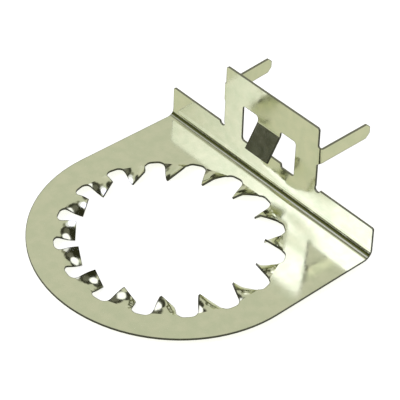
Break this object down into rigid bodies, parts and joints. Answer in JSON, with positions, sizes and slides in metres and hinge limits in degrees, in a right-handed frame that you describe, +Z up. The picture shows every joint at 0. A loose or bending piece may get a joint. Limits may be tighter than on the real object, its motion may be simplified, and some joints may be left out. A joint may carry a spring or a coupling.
{
  "type": "grounding washer",
  "caption": "Internal-tooth grounding washer stamped from thin sheet: a D-shaped toothed plate with a folded-up flange, a windowed frame with a contact tab, and solder legs folded back.",
  "frame": {"origin": "centre of the toothed hole, on the underside of the plate", "axes": "+Z up from the plate along the axis of the toothed hole, +Y from the hole to the upright and on along the solder legs, +X along the fold"},
  "size_m": [0.02, 0.0232, 0.0083],
  "materials": {
    "plated_sheet": "bright plated steel sheet"
  },
  "bodies": {
    "root": {"grounding_washer": "plated_sheet"}
  },
  "joints": []
}
